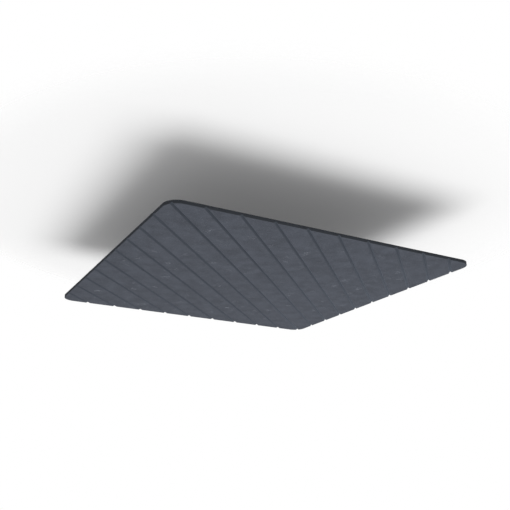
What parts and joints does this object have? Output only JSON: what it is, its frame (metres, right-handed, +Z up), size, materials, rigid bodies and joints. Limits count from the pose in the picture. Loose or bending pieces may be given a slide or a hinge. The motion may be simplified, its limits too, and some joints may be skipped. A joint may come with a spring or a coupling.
{
  "type": "suspended ceiling tile",
  "caption": "Square felt ceiling tile with rounded corners and diagonal V-grooves across its lower face; hangs flat below a ceiling to absorb sound.",
  "frame": {"origin": "centre of the upper (back) face, which is turned to the ceiling", "axes": "+Z up, out of the back face; X and Y along the board's edges; the grooved face is at the lowest Z, and the grooves run along the diagonal from -X -Y to +X +Y"},
  "size_m": [1.195, 1.195, 0.012],
  "materials": {
    "felt": "matte needle-punched polyester felt board, blue-grey marl, cut edges slightly darker"
  },
  "bodies": {
    "root": {"felt_panel": "felt"}
  },
  "joints": []
}
